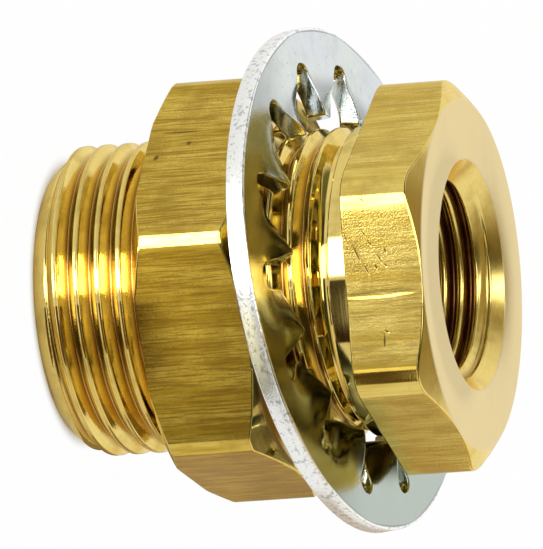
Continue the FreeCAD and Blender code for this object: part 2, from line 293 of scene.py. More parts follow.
def hexagon_radius(angles, flat_angle, across_flats, rounding, land_radius):
    """Distance from the axis to a hexagon's side: half the width over the cosine of the angle to the nearest
    flat, or on a corner the distance to a circle of radius `rounding` between two flats, but not beyond the
    round land."""
    to_flat = angle_to_flat(angles, flat_angle)
    from_corner = HALF_FLAT - to_flat
    half = across_flats / 2
    centre = (half - rounding) / math.cos(HALF_FLAT)
    flat = half / np.cos(to_flat)
    reach = np.sqrt(np.clip(rounding ** 2 - (centre * np.sin(from_corner)) ** 2, 0, None))
    on_round = to_flat > math.atan2((half - rounding) * math.tan(HALF_FLAT), half)
    return np.minimum(np.where(on_round, centre * np.cos(from_corner) + reach, flat), land_radius)


def drawn_finish(rows, side, angles, flat_angle, corner_width):
    """Finish of a hexagon's rows: 1 where a row lies on the side, 0 elsewhere, and low on rubbed corners."""
    tolerance = 1e-6
    rubbed_finish = 0.15
    rubbed_share = 0.8
    to_corner = HALF_FLAT - angle_to_flat(angles, flat_angle)
    rubbed = np.interp(to_corner, [rubbed_share * corner_width, corner_width], [rubbed_finish, 1])
    return (np.abs(rows[..., 0] - side) < tolerance) * rubbed


def rounded_rows(corners, columns, steps=4):
    """Rows of a turned outline with rounded corners. Each corner is (radius, height, rounding), where radius
    and height are numbers or one value per column. A rounded corner is a quadratic curve between the points
    that lie `rounding` before and after it, with a guard row beyond either end that keeps the straight
    stretch straight."""
    longest_share = 0.4
    guard_share = 1.2
    points = np.stack([
        np.stack([np.broadcast_to(radius, columns), np.broadcast_to(height, columns)], axis=-1)
        for radius, height, _ in corners
    ]).astype(float)
    rows = [points[:1]]
    for index in range(1, len(corners) - 1):
        corner = points[index]
        before, after = points[index - 1] - corner, points[index + 1] - corner
        before_length = np.linalg.norm(before, axis=-1, keepdims=True)
        after_length = np.linalg.norm(after, axis=-1, keepdims=True)
        rounding = np.minimum(corners[index][2], longest_share * np.minimum(before_length, after_length))
        start = corner + before / before_length * rounding
        end = corner + after / after_length * rounding
        along = np.linspace(0, 1, steps)[:, None, None]
        arc = (1 - along) ** 2 * start + 2 * along * (1 - along) * corner + along ** 2 * end
        guard_in = corner + before / before_length * rounding * guard_share
        guard_out = corner + after / after_length * rounding * guard_share
        rows += [guard_in[None], arc, guard_out[None]]
    rows.append(points[-1:])
    return np.concatenate(rows)


def level_band(rows, angles):
    """Grid of points (row, column) from rows of (radius, height) turned about the axis."""
    radius, height = rows[..., 0], rows[..., 1]
    return np.stack([radius * np.cos(angles), radius * np.sin(angles), height], axis=-1)


def thread_depth(distance, pitch, outline):
    """Depth below the crest at a distance along the axis from the middle of any crest, by the outline."""
    offset = np.abs((distance + pitch / 2) % pitch - pitch / 2)
    places, depths = zip(*outline)
    return np.interp(offset, places, depths)


def soft_minimum(first, second, width):
    """Smaller of two lengths, blended by a parabola where they differ by less than `width`."""
    blend = np.clip(0.5 + (second - first) / (2 * width), 0, 1)
    return second * (1 - blend) + first * blend - width * blend * (1 - blend)


def helix_heights(angles, low, high, pitch, crest_height, outline):
    """Heights (row, column) of lines that follow a right-handed thread: one line for each point of its
    outline, on every turn between the two ends. A line that runs past an end stays on it, so a band closes on
    a level circle."""
    half = np.array([place for place, _ in outline])
    offsets = np.concatenate([-half[-2:0:-1], half])
    first = math.floor((low - crest_height) / pitch) - 2
    last = math.ceil((high - crest_height) / pitch) + 2
    crests = crest_height + pitch * np.arange(first, last + 1)
    lines = (crests[:, None] + offsets).ravel()
    rise = pitch * (angles - NEAR_SIDE) / TURN
    return np.clip(lines[:, None] + rise, low, high), rise


def helix_band(angles, low, high, pitch, crest_height, outline, radius_at):
    """Threaded surface on helix_heights, as a band for make_piece. radius_at gives the radius from the height
    and the depth of the thread there. The last column joins the first one turn, that is one pitch of lines,
    further up. The finish falls from 0 on the crest to -1 at the root."""
    heights, rise = helix_heights(angles, low, high, pitch, crest_height, outline)
    depth = thread_depth(heights - crest_height - rise, pitch, outline)
    radius = radius_at(heights, depth)
    below_crest = np.abs(radius - radius_at(heights, np.zeros_like(depth)))
    points = np.stack([radius * np.cos(angles), radius * np.sin(angles), heights], axis=-1)
    return points, 2 * len(outline) - 2, -below_crest / depth.max()


def band_faces(rows, columns, first_vertex, row_shift=0):
    """Quads of a band closed round the axis. Across the seam, a row meets the row `row_shift` above it."""
    vertex = first_vertex + np.arange(rows * columns).reshape(rows, columns)
    inside = np.stack([vertex[:-1, :-1], vertex[:-1, 1:], vertex[1:, 1:], vertex[1:, :-1]], axis=-1)
    kept = rows - row_shift
    left, right = vertex[:kept, -1], vertex[row_shift:, 0]
    seam = np.stack([left[:-1], right[:-1], right[1:], left[1:]], axis=-1)
    return np.concatenate([inside.reshape(-1, 4), seam])


def make_piece(name, bands, material, body, node):
    """Object of bands, each (grid of points, row shift at the seam, finish). Points that coincide are merged,
    which closes neighbouring bands on each other. The finish is kept as an attribute of the surface."""
    points, faces, finishes = [], [], []
    count = 0
    for grid, row_shift, finish in bands:
        rows, columns = grid.shape[:2]
        points.append(grid.reshape(-1, 3))
        faces.append(band_faces(rows, columns, count, row_shift))
        finishes.append(np.broadcast_to(np.asarray(finish, float), (rows, columns)).ravel())
        count += rows * columns
    mesh = bpy.data.meshes.new(name)
    mesh.from_pydata((np.concatenate(points) * MM).tolist(), [], np.concatenate(faces).tolist())
    attribute = mesh.attributes.new("finish", "FLOAT", "POINT")
    attribute.data.foreach_set("value", np.concatenate(finishes).astype(np.float32))

    merged = bmesh.new()
    merged.from_mesh(mesh)
    bmesh.ops.remove_doubles(merged, verts=merged.verts, dist=MERGE_DISTANCE * MM)
    bmesh.ops.recalc_face_normals(merged, faces=merged.faces)
    merged.to_mesh(mesh)
    merged.free()
    mesh.shade_smooth()
    mesh.materials.append(material)

    piece = bpy.data.objects.new(name, mesh)
    bpy.context.scene.collection.objects.link(piece)
    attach(piece, body)
    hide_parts(node)
    return piece


def shank_radius_at(height, depth):
    """Threaded shank: crest radius less the thread's depth, cut by the end's 45 degree chamfer and by the
    relief groove under the collar."""
    chamfer = SHANK_END_RADIUS + height
    relief = RELIEF_RADIUS + RELIEF_SLOPE * np.clip(RELIEF_BOTTOM - height, 0, None)
    radius = soft_minimum(SHANK_RADIUS - depth, chamfer, SHANK_END_BLEND)
    return np.minimum(radius, relief)


def port_radius(below, depth):
    """Tapered female thread at a distance below its mouth: crest radius plus the thread's depth, widened by
    the mouth's 45 degree countersink."""
    thread = PORT_CREST_RADIUS - PORT_TAPER * below + depth
    return -soft_minimum(-thread, below - PORT_MOUTH_RADIUS, PORT_MOUTH_BLEND)


def head_port_radius_at(height, depth):
    """Port in the head, whose mouth lies in the head's face."""
    return port_radius(BODY_LENGTH - height, depth)


def make_coupling_body(material):
    """Bored body: hexagon head, collar, threaded shank and two female ports, as bands from port to port."""
    angles = column_angles(BODY_COLUMNS, NEAR_SIDE + HALF_FLAT)
    side = hexagon_radius(angles, NEAR_SIDE, HEAD_ACROSS_FLATS, HEAD_CORNER_ROUNDING, math.inf)
    chamfer_edge = BODY_LENGTH - (side - HEAD_FACE_RADIUS) * HEXAGON_CHAMFER
    head_port_end = BODY_LENGTH - PORT_DEPTH
    head_port = helix_band(
        angles, head_port_end, BODY_LENGTH, PORT_PITCH, PORT_CREST_HEIGHT, PORT_OUTLINE, head_port_radius_at,
    )
    shank = helix_band(
        angles, 0, THREAD_END, SHANK_PITCH, SHANK_CREST_HEIGHT, SHANK_OUTLINE, shank_radius_at,
    )
    shank_port = helix_band(
        angles, 0, PORT_DEPTH, PORT_PITCH, PORT_CREST_HEIGHT - BODY_LENGTH, PORT_OUTLINE, port_radius,
    )
    head = rounded_rows([
        (PORT_MOUTH_RADIUS, BODY_LENGTH, 0),
        (HEAD_FACE_RADIUS, BODY_LENGTH, HEAD_EDGE_ROUNDING),
        (side, chamfer_edge, HEAD_CHAMFER_ROUNDING),
        (side, SHOULDER, HEAD_EDGE_ROUNDING),
        (SHANK_RADIUS + COLLAR_FLARE, SHOULDER, COLLAR_ROUNDING),
        (SHANK_RADIUS, COLLAR_BOTTOM, RELIEF_ROUNDING),
        (RELIEF_RADIUS, COLLAR_BOTTOM - COLLAR_UNDERCUT, RELIEF_ROUNDING),
        (RELIEF_RADIUS, THREAD_END, 0),
    ], BODY_COLUMNS)
    finish = drawn_finish(head, side, angles, NEAR_SIDE, HEAD_CORNER_WIDTH)
    end_face = rounded_rows([(SHANK_END_RADIUS, 0, 0), (PORT_MOUTH_RADIUS, 0, 0)], BODY_COLUMNS)
    waterway = rounded_rows([
        (np.linalg.norm(head_port[0][0, :, :2], axis=-1), head_port_end, 0),
        (WATERWAY_RADIUS, head_port_end - PORT_STEP, WATERWAY_ROUNDING),
        (WATERWAY_RADIUS, PORT_DEPTH + PORT_STEP, WATERWAY_ROUNDING),
        (np.linalg.norm(shank_port[0][-1, :, :2], axis=-1), PORT_DEPTH, 0),
    ], BODY_COLUMNS)
    bands = [
        head_port,
        (level_band(head, angles), 0, finish),
        shank,
        (level_band(end_face, angles), 0, 0),
        shank_port,
        (level_band(waterway, angles), 0, 0),
    ]
    return make_piece("coupling_body_skin", bands, material, "coupling", "coupling_body")


def nut_thread_radius_at(height, depth):
    """Nut's bore: the shank's thread with the running play around it, countersunk at either end."""
    thread = SHANK_RADIUS + NUT_THREAD_PLAY - depth
    from_end = np.minimum(height - NUT_BOTTOM, NUT_TOP - height)
    return -soft_minimum(-thread, from_end - NUT_MOUTH_RADIUS, NUT_MOUTH_BLEND)


def make_lock_nut(material):
    """Hexagon nut with a round land on its corners, chamfered at both ends, on the shank's own thread."""
    flat_angle = NEAR_SIDE + NUT_TURN
    angles = column_angles(NUT_COLUMNS, flat_angle + HALF_FLAT)
    side = hexagon_radius(angles, flat_angle, NUT_ACROSS_FLATS, NUT_CORNER_ROUNDING, NUT_LAND_RADIUS)
    front_edge = NUT_TOP - (side - NUT_FRONT_RADIUS) * HEXAGON_CHAMFER
    back_edge = NUT_BOTTOM + np.clip(side - NUT_BACK_RADIUS, 0, None) * HEXAGON_CHAMFER
    bore = helix_band(
        angles, NUT_BOTTOM, NUT_TOP, SHANK_PITCH, SHANK_CREST_HEIGHT, SHANK_OUTLINE, nut_thread_radius_at,
    )
    outside = rounded_rows([
        (NUT_MOUTH_RADIUS, NUT_TOP, 0),
        (NUT_FRONT_RADIUS, NUT_TOP, NUT_FRONT_ROUNDING),
        (side, front_edge, NUT_EDGE_ROUNDING),
        (side, back_edge, NUT_EDGE_ROUNDING),
        (np.minimum(side, NUT_BACK_RADIUS) - NUT_BACK_INSET, NUT_BOTTOM, NUT_BACK_ROUNDING),
        (NUT_MOUTH_RADIUS, NUT_BOTTOM, 0),
    ], NUT_COLUMNS)
    finish = drawn_finish(outside, side, angles, flat_angle, NUT_CORNER_WIDTH)
    # The front face gets a finish below -1: the brass makes it rough and paints shade on it, darker towards -X
    upper = np.clip(0.5 - outside[..., 0] * np.cos(angles) / NUT_FRONT_BLEND, 0, 1)
    front_shade_finish = NUT_FRONT_SHADE_FINISH[0] + (NUT_FRONT_SHADE_FINISH[1] - NUT_FRONT_SHADE_FINISH[0]) * upper
    finish = np.where(outside[..., 1] > front_edge + NUT_EDGE_ROUNDING, front_shade_finish, finish)
    bands = [bore, (level_band(outside, angles), 0, finish)]
    return make_piece("lock_nut_skin", bands, material, "nut", "lock_nut")


def tooth_outline():
    """Inner outline of one tooth's sector in the flat sheet, from the middle of a slot to that of the next.

    Half of it is the quarter round of the slot's end, the slot's straight side and half of the tooth's tip
    with its rounded corner. It is mirrored, and returned as (distance along the tooth's middle line, distance
    across it)."""
    # Along the slot's own middle line, x runs outwards and y across, towards the tooth
    half_slot = SLOT_WIDTH / 2
    end_centre = SLOT_END_RADIUS - half_slot
    quarter = np.linspace(0, TURN / 4, 7)
    side_x = np.linspace(end_centre, TOOTH_TIP_RADIUS + TOOTH_CORNER_ROUNDING, 12)[1:]
    x = np.concatenate([end_centre + half_slot * np.cos(quarter), side_x])
    y = np.concatenate([half_slot * np.sin(quarter), np.full_like(side_x, half_slot)])
    # Into the tooth's frame, whose middle line lies half a sector further round
    turn = TOOTH_SECTOR / 2
    along = x * math.cos(turn) + y * math.sin(turn)
    across = -x * math.sin(turn) + y * math.cos(turn)
    corner_start = np.array([along[-1], across[-1]])
    tip_half = -across[-1] - TOOTH_CORNER_ROUNDING
    tip_end = np.array([TOOTH_TIP_RADIUS, -tip_half])
    corner = np.array([TOOTH_TIP_RADIUS, across[-1] + TOOTH_CORNER_INSET])
    bend = np.linspace(0, 1, 5)[1:, None]
    rounded = (1 - bend) ** 2 * corner_start + 2 * bend * (1 - bend) * corner + bend ** 2 * tip_end
    tip = np.stack([np.full(5, TOOTH_TIP_RADIUS), np.linspace(-tip_half, 0, 6)[1:]], axis=-1)
    half = np.concatenate([np.stack([along, across], axis=-1), rounded, tip])
    mirrored = half[-2:0:-1] * np.array([1, -1])
    return np.concatenate([half, mirrored])


def inset_direction(outline):
    """Unit vectors square to an outline, pointing into the sheet, from the chord between a point's
    neighbours."""
    cosine, sine = math.cos(TOOTH_SECTOR), math.sin(TOOTH_SECTOR)
    spin = np.array([[cosine, -sine], [sine, cosine]])
    before = np.concatenate([(spin.T @ outline[-1])[None], outline[:-1]])
    after = np.concatenate([outline[1:], (spin @ outline[0])[None]])
    chord = after - before
    normal = np.stack([chord[:, 1], -chord[:, 0]], axis=-1)
    return normal / np.linalg.norm(normal, axis=-1, keepdims=True)


def sheet_section():
    """Closed section of the washer's sheet: share of the way from the inner edge to the rim, inset from
    either, and height. It runs over the top face and back under the bottom face, with quarter rounds at the
    edges."""
    edge, half = WASHER_EDGE_ROUNDING, WASHER_THICKNESS / 2
    bend = np.linspace(0, TURN / 4, 4)
    drop = half - edge * (1 - np.cos(bend))
    inset = edge * (1 - np.sin(bend))
    inner_round = np.stack([np.zeros_like(bend), inset, drop], axis=-1)[::-1]
    rim_round = np.stack([np.ones_like(bend), -inset, drop], axis=-1)
    face = np.array([(way, 0.0, half) for way in WASHER_FACE_ROWS])
    top = np.concatenate([inner_round, face, rim_round])
    return np.concatenate([top, top[::-1] * np.array([1, 1, -1])])


def washer_grid():
    """Closed grid of the washer, level and centred: the sheet's section carried round the inner outline.

    At each outline point the section runs out to the rim and back. Points of a tooth are then turned about
    its middle line, by an angle that grows smoothly from its neck to its tip and differs a little from tooth
    to tooth. Returned with its finish: -1 on the rim, 0 on the faces and rising to 1 at the tips of the
    teeth."""
    inner = tooth_outline()
    samples = len(inner)
    rim_angle = np.linspace(-0.5, 0.5, samples, endpoint=False) * TURN / TOOTH_COUNT
    rim = np.stack([np.cos(rim_angle), np.sin(rim_angle)], axis=-1)
    edge = WASHER_EDGE_ROUNDING
    section = sheet_section()
    way, inset, height = (column[:, None] for column in section.T)
    start = inner + inset_direction(inner) * edge
    flat = start * (1 - way[..., None]) + rim * (WASHER_RADIUS - edge) * way[..., None]
    flat = np.where(way[..., None] <= 0, inner + inset_direction(inner) * inset[..., None], flat)
    flat = np.where(way[..., None] >= 1, rim * (WASHER_RADIUS + inset[..., None]), flat)
    along, across = flat[..., 0], flat[..., 1]
    reach = np.clip((TOOTH_NECK_RADIUS - along) / (TOOTH_NECK_RADIUS - TOOTH_TIP_RADIUS), 0, 1)
    finish = np.where(way >= 1, -1, np.where(way <= 0, 0, reach))
    tooth = np.arange(TOOTH_COUNT)[None, :, None]
    turns = TOOTH_SECTOR * tooth
    along, across, height, reach = (value[:, None, :] for value in (along, across, height, reach))
    twist = (TOOTH_TWIST + TOOTH_UNEVENNESS * np.sin(2 * tooth)) * reach * reach * (3 - 2 * reach)
    turned = across * np.cos(twist) - height * np.sin(twist)
    raised = across * np.sin(twist) + height * np.cos(twist)
    grid = np.stack([
        along * np.cos(turns) - turned * np.sin(turns),
        along * np.sin(turns) + turned * np.cos(turns),
        raised,
    ], axis=-1)
    return grid.reshape(len(section), TOOTH_COUNT * samples, 3), np.tile(finish, TOOTH_COUNT)


def make_lock_washer(material):
    """The washer's level grid, leaning on the shank."""
    grid, finish = washer_grid()
    lean = (
        Matrix.Rotation(WASHER_LOW_SIDE, 3, "Z")
        @ Matrix.Rotation(WASHER_LEAN, 3, "Y")
        @ Matrix.Rotation(TOOTH_PHASE, 3, "Z")
    )
    placed = grid @ np.array(lean).T + np.array(WASHER_CENTRE)
    bands = [(np.concatenate([placed, placed[:1]]), 0, np.concatenate([finish, finish[:1]]))]
    return make_piece("lock_washer_skin", bands, material, "washer", "lock_washer")


def add_node(tree, kind, inputs=None, **settings):
    """New node with its settings, its sockets filled with plain values or linked to other sockets."""
    node = tree.nodes.new(kind)
    for name, value in settings.items():
        setattr(node, name, value)
    for name, value in (inputs or {}).items():
        if isinstance(value, bpy.types.NodeSocket):
            tree.links.new(value, node.inputs[name])
        else:
            node.inputs[name].default_value = value
    return node


def calculate(tree, operation, *values):
    """Result of a math node."""
    return add_node(tree, "ShaderNodeMath", dict(enumerate(values)), operation=operation).outputs[0]


def product(tree, first, *others):
    """Product of values, multiplied in turn."""
    for other in others:
        first = calculate(tree, "MULTIPLY", first, other)
    return first


def add_share(tree, value, share, base):
    """Base plus a fixed share of a value."""
    return calculate(tree, "MULTIPLY_ADD", value, share, base)


def between(tree, value, low, high):
    """1 where a value lies between two others, and 0 elsewhere."""
    above = calculate(tree, "GREATER_THAN", value, low)
    return product(tree, above, calculate(tree, "LESS_THAN", value, high))


def remap(tree, value, low, high, to_low=0.0, to_high=1.0):
    """Value eased from one range to another and held at its ends."""
    inputs = {"Value": value, "From Min": low, "From Max": high, "To Min": to_low, "To Max": to_high}
    return add_node(tree, "ShaderNodeMapRange", inputs, interpolation_type="SMOOTHSTEP").outputs[0]


def blend_colors(tree, factor, first, second):
    """Colour between two colours."""
    inputs = {"Factor": factor, "A": first, "B": second}
    return add_node(tree, "ShaderNodeMix", inputs, data_type="RGBA").outputs["Result"]


def noise(tree, place, scale, detail=2.0, roughness=0.5):
    """Cloudy value between 0 and 1."""
    inputs = {"Vector": place, "Scale": scale, "Detail": detail, "Roughness": roughness}
    return add_node(tree, "ShaderNodeTexNoise", inputs).outputs["Fac"]


def vector_math(tree, operation, *values):
    """Outputs of a vector math node."""
    return add_node(tree, "ShaderNodeVectorMath", dict(enumerate(values)), operation=operation).outputs


def stretch(tree, place, factors):
    """Place with each axis scaled by its own factor."""
    return vector_math(tree, "MULTIPLY", place, factors)[0]


def new_group(name, inputs, outputs):
    """Empty node group with named sockets. Returns its tree, its input node and its output node."""
    tree = bpy.data.node_groups.new(name, "ShaderNodeTree")
    for label, kind, value in inputs:
        tree.interface.new_socket(label, in_out="INPUT", socket_type=kind).default_value = value
    for label, kind in outputs:
        tree.interface.new_socket(label, in_out="OUTPUT", socket_type=kind)
    return tree, tree.nodes.new("NodeGroupInput").outputs, tree.nodes.new("NodeGroupOutput").inputs


def make_drawn_streaks_group():
    """Marks of bar drawing: noise drawn out along the axis, fine scratches and broad pale or dark bands."""
    tree, given, result = new_group(
        "drawn_streaks",
        [("Place", "NodeSocketVector", (0, 0, 0)), ("Fineness", "NodeSocketFloat", 6.0)],
        [("Scratches", "NodeSocketFloat"), ("Bands", "NodeSocketFloat")],
    )
    long_place = stretch(tree, given["Place"], (1, 1, 0.045))
    broad_place = stretch(tree, given["Place"], (1, 1, 0.10))
    tree.links.new(noise(tree, long_place, given["Fineness"], 3.0, 0.6), result["Scratches"])
    tree.links.new(noise(tree, broad_place, 0.9, 4.0, 0.65), result["Bands"])
    return tree


def make_turning_lines_group():
    """Marks of the lathe: noise of the radius and the height only, so that it runs round the axis."""
    tree, given, result = new_group(
        "turning_lines",
        [("Place", "NodeSocketVector", (0, 0, 0)), ("Fineness", "NodeSocketFloat", 5.0)],
        [("Lines", "NodeSocketFloat"), ("Radius", "NodeSocketFloat")],
    )
    flat_place = stretch(tree, given["Place"], (1, 1, 0))
    radius = vector_math(tree, "LENGTH", flat_place)["Value"]
    height = add_node(tree, "ShaderNodeSeparateXYZ", {0: given["Place"]}).outputs["Z"]
    line_place = add_node(tree, "ShaderNodeCombineXYZ", {"X": radius, "Y": height}).outputs[0]
    tree.links.new(noise(tree, line_place, given["Fineness"], 3.0, 0.6), result["Lines"])
    tree.links.new(radius, result["Radius"])
    return tree


def make_wear_group():
    """Handling marks: a fine grain, cloudy stains, sparse specks where one noise peaks, patchy flecks and a
    broad change of tint."""
    tree, given, result = new_group(
        "wear",
        [("Place", "NodeSocketVector", (0, 0, 0)), ("Stain Size", "NodeSocketFloat", 3.0)],
        [
            ("Grain", "NodeSocketFloat"), ("Stains", "NodeSocketFloat"), ("Specks", "NodeSocketFloat"),
            ("Flecks", "NodeSocketFloat"), ("Tint", "NodeSocketFloat"),
        ],
    )
    place = given["Place"]
    stain_scale = calculate(tree, "DIVIDE", 1.0, given["Stain Size"])
    stains = remap(tree, noise(tree, place, stain_scale, 4.0, 0.6), 0.45, 0.68)
    specks = remap(tree, noise(tree, place, 2.6, 1.0), 0.70, 0.76)
    flecks = remap(tree, noise(tree, place, 2.0, 3.0, 0.6), 0.52, 0.66)
    tint = remap(tree, noise(tree, place, 0.22, 2.0), 0.35, 0.65)
    tree.links.new(noise(tree, place, 7.0, 2.0), result["Grain"])
    tree.links.new(stains, result["Stains"])
    tree.links.new(specks, result["Specks"])
    tree.links.new(flecks, result["Flecks"])
    tree.links.new(tint, result["Tint"])
    return tree


def make_nick_group():
    """One dent on the side that faces the viewer: an ellipse in the XZ plane, deepest in its middle."""
    tree, given, result = new_group(
        "nick",
        [
            ("Place", "NodeSocketVector", (0, 0, 0)),
            ("Centre", "NodeSocketVector", (0, 0, 0)),
            ("Slant", "NodeSocketFloat", 0.0),
            ("Size", "NodeSocketVector", (1, 1, 1)),
        ],
        [("Depth", "NodeSocketFloat")],
    )
    offset = vector_math(tree, "SUBTRACT", given["Place"], given["Centre"])[0]
    turning = {"Vector": offset, "Angle": given["Slant"]}
    turned = add_node(tree, "ShaderNodeVectorRotate", turning, rotation_type="Y_AXIS").outputs[0]
    shares = vector_math(tree, "DIVIDE", turned, given["Size"])[0]
    distance = vector_math(tree, "LENGTH", shares)["Value"]
    tree.links.new(remap(tree, distance, 1.0, 0.3), result["Depth"])
    return tree


def place_group(tree, group, inputs):
    """Outputs of a node that puts a group into a material."""
    return add_node(tree, "ShaderNodeGroup", inputs, node_tree=group).outputs


def deepest(tree, group, place, dents):
    """Depth of the deepest of several dents, each given as (centre, slant, half sizes)."""
    depth = 0.0
    for centre, slant, size in dents:
        dent = place_group(tree, group, {"Place": place, "Centre": centre, "Slant": slant, "Size": size})
        depth = calculate(tree, "MAXIMUM", depth, dent["Depth"])
    return depth


def new_material(name):
    """Material with a metal shader. Returns it, its tree, the shader's inputs, the place in millimetres and
    the piece's finish."""
    material = bpy.data.materials.new(name)
    material.use_nodes = True
    tree = material.node_tree
    shader = tree.nodes["Principled BSDF"].inputs
    shader["Metallic"].default_value = 1
    coordinates = add_node(tree, "ShaderNodeTexCoord").outputs["Object"]
    place = stretch(tree, coordinates, (1 / MM, 1 / MM, 1 / MM))
    finish = add_node(tree, "ShaderNodeAttribute", attribute_name="finish").outputs["Fac"]
    return material, tree, shader, place, finish


def add_bump(tree, shader, strength, height):
    """Fine relief of a metal, from a height in shares of BUMP_DISTANCE."""
    inputs = {"Strength": strength, "Distance": BUMP_DISTANCE * MM, "Height": height}
    tree.links.new(add_node(tree, "ShaderNodeBump", inputs).outputs["Normal"], shader["Normal"])


def make_brass(name, groups, tones, graininess, nicks, grazes=()):
    """Brass: drawn streaks on the flats, less so where the finish attribute falls towards 0, turning lines
    where it is 0, dull roots painted darker as shade where it falls to -1, and beyond that a rough face
    with darker painted shade. Painted shade also darkens the ports' grooves. Stained in clouds, with dark
    nicks and bright grazes given as (centre, slant, half sizes). Tones are the bright, the deep and the
    stained colour of the flats."""
    bright, deep, stain = tones
    material, tree, shader, place, finish = new_material(name)
    shader["Specular Tint"].default_value = EDGE_TINT
    streaks = place_group(tree, groups["drawn_streaks"], {"Place": place, "Fineness": 6.0})
    turning = place_group(tree, groups["turning_lines"], {"Place": place, "Fineness": 4.0})
    wear = place_group(tree, groups["wear"], {"Place": place, "Stain Size": 3.0})
    nick_depth = deepest(tree, groups["nick"], place, nicks)
    graze_depth = deepest(tree, groups["nick"], place, grazes)

    # Where each finish lies
    drawn = remap(tree, finish, 0.02, 0.12)
    rubbed = product(tree, remap(tree, finish, 1.0, 0.1, 0.0, 0.8), drawn)
    # Thread roots: duller, and painted darker as shade
    root = remap(tree, finish, -0.45, -0.95, 0.0, 0.75)
    # Painted shade on the nut's front face, deepest towards -X
    front_shade = remap(tree, finish, -1.1, -1.8)
    nut_front = remap(tree, finish, -1.02, -1.15, 0.0, NUT_FRONT_DULLNESS)
    height_along = add_node(tree, "ShaderNodeSeparateXYZ", {0: place}).outputs["Z"]
    faced = remap(tree, height_along, BODY_LENGTH - 0.12, BODY_LENGTH - 0.04)
    in_port = remap(tree, turning["Radius"], PORT_MOUTH_RADIUS + 0.15, PORT_MOUTH_RADIUS - 0.15)
    # Painted shade in the grooves of the ports
    groove_shade = product(tree, remap(tree, finish, -0.30, -0.75), in_port)

    # How strongly it is marked
    marks = add_node(
        tree, "ShaderNodeMix",
        {"Factor": drawn, "A": turning["Lines"], "B": streaks["Scratches"]}, data_type="FLOAT",
    ).outputs["Result"]
    marked = calculate(tree, "SUBTRACT", remap(tree, drawn, 0.0, 1.0, 0.25, 1.0), rubbed)
    lines = product(tree, remap(tree, marks, 0.56, 0.37, 0.0, 1.0 - 0.45 * graininess), marked)
    mottled = product(tree, finish, graininess, wear["Grain"])
    mottles = remap(tree, mottled, 0.5 * graininess, 0.7 * graininess, 0.0, 0.5)

    tone = blend_colors(tree, remap(tree, streaks["Bands"], 0.38, 0.64), bright, deep)
    # Turned brass, with painted shade in the thread roots
    tone = blend_colors(tree, drawn, blend_colors(tree, root, TURNED_TONE, ROOT_SHADE_TONE), tone)
    # Painted shade on the nut's front face
    tone = blend_colors(tree, front_shade, tone, NUT_FRONT_SHADE_TONE)
    # Painted shade in the ports' grooves
    tone = blend_colors(tree, groove_shade, tone, GROOVE_SHADE_TONE)
    tone = blend_colors(tree, product(tree, wear["Stains"], 0.45), tone, stain)
    tone = blend_colors(tree, lines, tone, stain)
    tone = blend_colors(tree, mottles, tone, stain)
    tone = blend_colors(tree, product(tree, nick_depth, 0.95), tone, NICK_TONE)
    tone = blend_colors(tree, product(tree, faced, 0.85), tone, FACED_END_TONE)
    tree.links.new(tone, shader["Base Color"])

    roughness = remap(tree, finish, 0.0, 1.0, TURNED_ROUGHNESS, DRAWN_ROUGHNESS)
    roughness = add_share(tree, faced, FACED_END_DULLNESS, roughness)
    roughness = add_share(tree, root, ROOT_DULLNESS, roughness)
    roughness = add_share(tree, in_port, PORT_DULLNESS, roughness)
    roughness = calculate(tree, "ADD", nut_front, roughness)
    roughness = add_share(tree, wear["Grain"], GRAIN_DULLNESS, roughness)
    tree.links.new(roughness, shader["Roughness"])

    engraved = product(tree, marks, marked, 1.0 - 0.5 * graininess)
    height = add_share(tree, mottled, GRAIN_HEIGHT, engraved)
    height = add_share(tree, nick_depth, NICK_HEIGHT, height)
    height = add_share(tree, graze_depth, GRAZE_HEIGHT, height)
    add_bump(tree, shader, BRASS_BUMP, height)
    return material


def make_zinc(groups):
    """Zinc plating: bluish white, with painted shade towards +X and on the near side, flecks on the stamped
    rim, and teeth painted dark grey as shade, darker still towards +X. Its finish attribute is -1 on the rim
    and 1 at the tips of the teeth."""
    material, tree, shader, place, finish = new_material("zinc_plating")
    rim = remap(tree, finish, -0.3, -0.9)
    tooth = remap(tree, finish, 0.04, 0.50)
    edge_line = product(tree, remap(tree, finish, -0.1, -0.4), remap(tree, finish, -0.95, -0.6))
    wear = place_group(tree, groups["wear"], {"Place": place, "Stain Size": 2.0})
    along_x, along_y, _ = add_node(tree, "ShaderNodeSeparateXYZ", {0: place}).outputs
    # Painted shade towards +X
    plus_x_shade = remap(tree, along_x, 2.0, 18.0, 0.0, 0.9)
    # Painted shade on the near side
    near_shade = remap(tree, along_y, -5.0, -14.0, 0.0, 0.65)
    # Teeth painted dark as shade, darker towards +X
    tooth_shade = blend_colors(tree, remap(tree, along_x, -9.0, -3.0), UPPER_TOOTH_SHADE, LOWER_TOOTH_SHADE)
    flecks = calculate(tree, "MAXIMUM", product(tree, rim, wear["Flecks"]), wear["Specks"])

    tone = blend_colors(tree, wear["Tint"], ZINC_GREENISH, ZINC_BLUISH)
    tone = blend_colors(tree, product(tree, wear["Stains"], 0.6), tone, ZINC_STAIN)
    # Painted shade towards +X
    tone = blend_colors(tree, plus_x_shade, tone, ZINC_PLUS_X_SHADE)
    # Painted shade on the near side
    tone = blend_colors(tree, near_shade, tone, ZINC_NEAR_SHADE)
    tone = blend_colors(tree, rim, tone, ZINC_RIM)
    tone = blend_colors(tree, product(tree, edge_line, 0.7), tone, ZINC_EDGE_LINE)
    # Painted shade on the teeth
    tone = blend_colors(tree, product(tree, tooth, 0.92), tone, tooth_shade)
    tone = blend_colors(tree, product(tree, flecks, 0.65), tone, ZINC_FLECK)
    tree.links.new(tone, shader["Base Color"])

    roughness = remap(tree, wear["Grain"], 0.3, 0.7, *ZINC_ROUGHNESS)
    tree.links.new(add_share(tree, rim, ZINC_RIM_DULLNESS, roughness), shader["Roughness"])
    add_bump(tree, shader, ZINC_BUMP, wear["Grain"])
    return material


